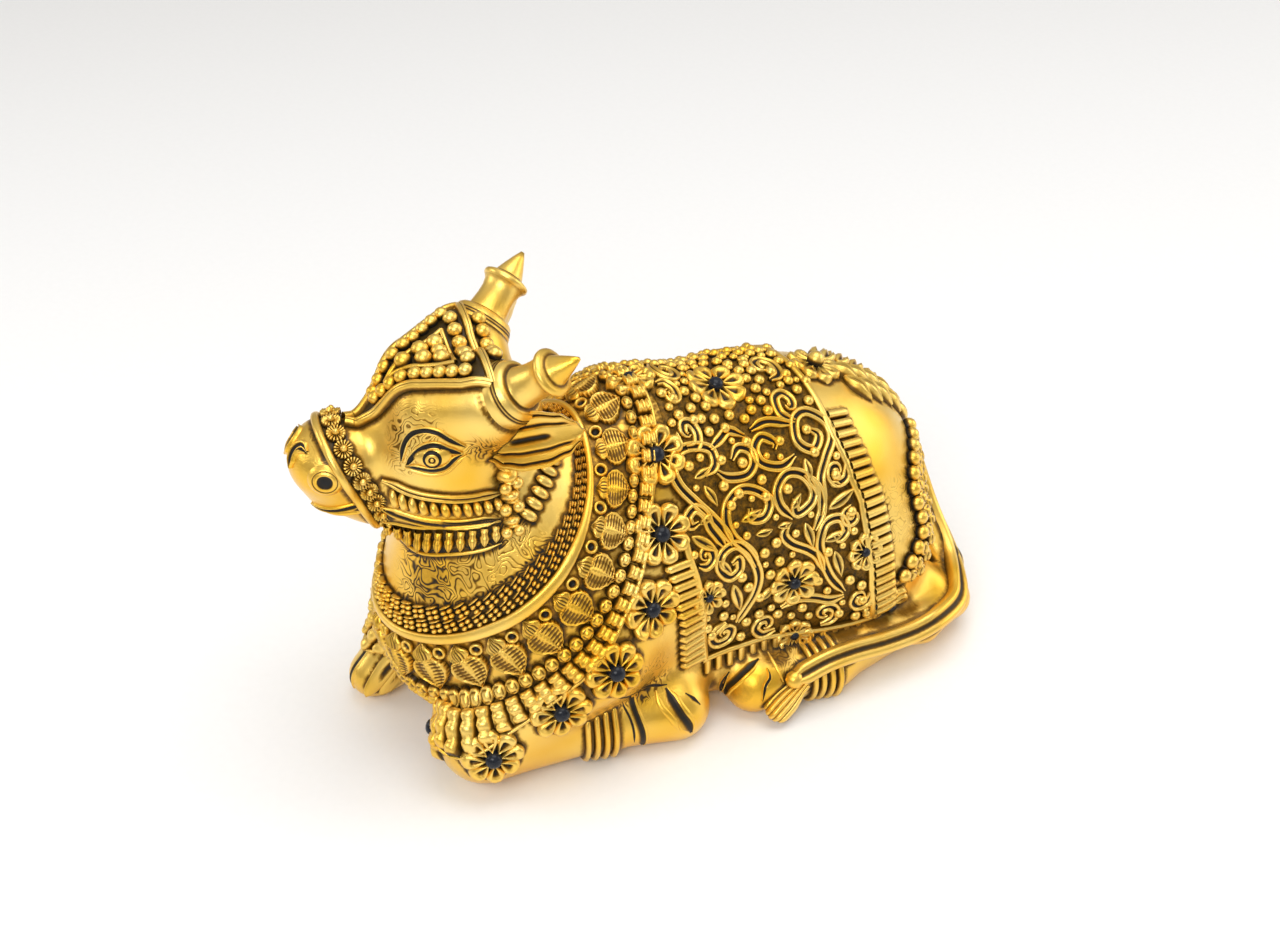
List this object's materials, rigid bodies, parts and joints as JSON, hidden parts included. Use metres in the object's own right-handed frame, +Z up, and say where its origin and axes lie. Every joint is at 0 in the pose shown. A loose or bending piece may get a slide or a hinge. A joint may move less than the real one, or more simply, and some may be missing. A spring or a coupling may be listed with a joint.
{
  "type": "nandi bull figure",
  "caption": "Recumbent temple bull figure in cast gold-toned metal, with a scroll-worked saddle cloth, bead garlands, flowers, bridle and capped horns.",
  "frame": {"origin": "on the flat underside, below the belly and midway between the flanks", "axes": "the bull faces -Y, its left side is +X, +Z is up"},
  "size_m": [0.122, 0.2468, 0.1655],
  "materials": {
    "gilt_brass": "polished gold tone on the high places, dark antique colour in the recesses"
  },
  "bodies": {
    "root": {"nandi_bull": "gilt_brass"}
  },
  "joints": []
}
